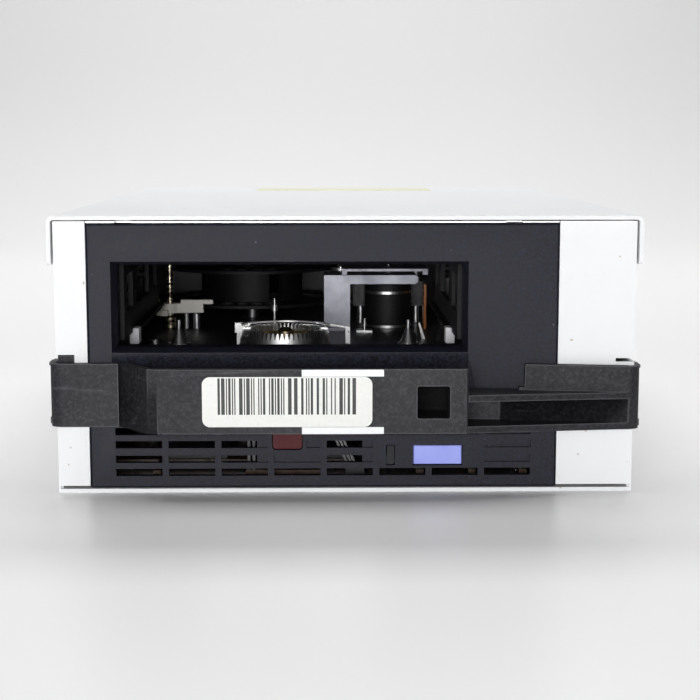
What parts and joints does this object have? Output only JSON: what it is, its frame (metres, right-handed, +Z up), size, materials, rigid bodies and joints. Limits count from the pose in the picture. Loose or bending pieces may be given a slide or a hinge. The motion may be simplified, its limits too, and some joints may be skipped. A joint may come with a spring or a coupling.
{
  "type": "library tape drive",
  "caption": "Full-height cartridge tape drive in a white slide-in steel tray, with a black cross bar, an open loading slot, vents, an unload button and a rear fan.",
  "frame": {"origin": "on the tray's flat underside, halfway across and halfway back", "axes": "+X to the right as seen from the front, +Y from the front towards the rear panel, +Z up"},
  "size_m": [0.198, 0.2987, 0.0866],
  "materials": {
    "white": "satin white powder coat",
    "zinc": "zinc-plated sheet",
    "screw": "nickel-plated screw steel",
    "chrome": "polished steel",
    "bar": "fine-grained black moulding",
    "bezel": "fine-textured charcoal moulding",
    "label": "gloss label stock",
    "strip": "white target tape",
    "blue": "satin blue button",
    "dark": "black moulding",
    "lens": "smoked lens",
    "red": "dark red window",
    "board": "green solder mask",
    "board_edge": "tan laminate",
    "parts": "moulded chips and cans",
    "casting": "black-coated casting",
    "motor": "plated motor can",
    "brass": "turned brass",
    "alu": "milled aluminium",
    "white_plastic": "natural acetal",
    "ivory": "natural nylon",
    "flex": "amber flexible circuit",
    "tan": "tan engineering plastic"
  },
  "bodies": {
    "root": {"tray_chassis": "white", "tray_lid": "white", "lid_screws": "screw", "rear_panel": "white", "pull_handle": "dark", "target_bar": "bar", "barcode_label": "label", "target_strips": "strip", "drive_bezel": "bezel", "unload_switch": "dark", "status_lens": "lens", "display_window": "red", "display_module": "dark", "front_board": "board", "drive_frame": "casting", "drive_cover": "zinc", "drive_pan": "zinc", "main_board": "board_edge", "board_parts": "parts", "reel_motor": "motor", "release_plate": "zinc", "locating_pins": "chrome", "takeup_motor": "motor", "roller_posts": "chrome", "head_bracket": "alu", "head_rods": "chrome", "head_motor": "motor", "voice_coil": "dark", "coil_rings": "ivory", "loader_motor": "motor", "gripper_pin": "brass", "fan_frame": "dark", "interface_board": "board", "transceiver_cages": "zinc", "service_jack": "zinc", "power_connector": "dark", "deck_fittings": "chrome", "sensor_levers": "zinc", "header_pins": "chrome", "flex_strip": "flex"},
    "button": {"unload_button": "blue"},
    "clutch": {"reel_clutch": "chrome", "clutch_core": "brass"},
    "takeup": {"takeup_reel": "dark"},
    "roller_1": {"guide_roller_1": "chrome"},
    "roller_2": {"guide_roller_2": "chrome"},
    "roller_3": {"guide_roller_3": "chrome"},
    "head": {"head_carriage": "alu", "tape_head": "alu"},
    "lead_screw": {"head_screw": "screw"},
    "saddle": {"cartridge_tray": "dark", "tray_tips": "white_plastic"},
    "cam": {"cam_slide": "zinc"},
    "gear": {"loader_gear": "ivory"},
    "pinion": {"loader_pinion": "brass"},
    "lever": {"gripper_lever": "tan"},
    "fan": {"fan_rotor": "dark"},
    "knob_left": {"thumbscrew_left": "screw"},
    "knob_right": {"thumbscrew_right": "screw"}
  },
  "joints": [
    {"name": "button_press", "type": "slide", "parent": "root", "child": "button", "axis": [0, 1, 0], "range_m": [0, 0.0012], "stiffness_N_per_m": 400},
    {"name": "clutch_spin", "type": "hinge", "parent": "root", "child": "clutch", "pos_m": [-0.0206, -0.055, 0.04], "axis": [0, 0, 1], "continuous": true},
    {"name": "takeup_spin", "type": "hinge", "parent": "root", "child": "takeup", "pos_m": [-0.037, 0.044, 0.049], "axis": [0, 0, 1], "continuous": true},
    {"name": "head_travel", "type": "slide", "parent": "root", "child": "head", "axis": [0, 0, 1], "range_m": [-0.0025, 0.0025]},
    {"name": "head_screw_turn", "type": "hinge", "parent": "root", "child": "lead_screw", "pos_m": [0.01925, 0.022, 0.045], "axis": [0, 0, 1], "range_deg": [-1810, 1810]},
    {"name": "cam_travel", "type": "slide", "parent": "root", "child": "cam", "axis": [0, 1, 0], "range_m": [0, 0.024]},
    {"name": "tray_drop", "type": "slide", "parent": "root", "child": "saddle", "axis": [0, 0, 1], "range_m": [-0.0061, 0.0001]},
    {"name": "gear_turn", "type": "hinge", "parent": "root", "child": "gear", "pos_m": [0.0535, -0.062, 0.074], "axis": [0, 0, 1], "range_deg": [-200, 2]},
    {"name": "pinion_turn", "type": "hinge", "parent": "root", "child": "pinion", "pos_m": [0.0535, -0.0506, 0.071], "axis": [0, 0, 1], "range_deg": [-4, 556]},
    {"name": "lever_swing", "type": "hinge", "parent": "root", "child": "lever", "pos_m": [-0.0674, 0.002, 0.043], "axis": [0, 0, 1], "range_deg": [-18, 18]},
    {"name": "fan_spin", "type": "hinge", "parent": "root", "child": "fan", "pos_m": [-0.05, 0.117, 0.044], "axis": [0, 1, 0], "continuous": true},
    {"name": "knob_left_turn", "type": "hinge", "parent": "root", "child": "knob_left", "pos_m": [-0.0945, 0.128, 0.055], "axis": [0, 1, 0], "continuous": true},
    {"name": "knob_right_turn", "type": "hinge", "parent": "root", "child": "knob_right", "pos_m": [0.0945, 0.128, 0.055], "axis": [0, 1, 0], "continuous": true},
    {"name": "roller_1_spin", "type": "hinge", "parent": "root", "child": "roller_1", "pos_m": [0.0429, 0.002, 0.05], "axis": [0, 0, 1], "continuous": true},
    {"name": "roller_2_spin", "type": "hinge", "parent": "root", "child": "roller_2", "pos_m": [0.0425, 0.0257, 0.05], "axis": [0, 0, 1], "continuous": true},
    {"name": "roller_3_spin", "type": "hinge", "parent": "root", "child": "roller_3", "pos_m": [0, 0.0257, 0.05], "axis": [0, 0, 1], "continuous": true}
  ],
  "couplings": [
    {"joint": "tray_drop", "follows": "cam_travel", "ratio": -0.25},
    {"joint": "gear_turn", "follows": "cam_travel", "rad_per_m": -142.86},
    {"joint": "pinion_turn", "follows": "cam_travel", "rad_per_m": 400},
    {"joint": "head_screw_turn", "follows": "head_travel", "rad_per_m": 12566}
  ]
}
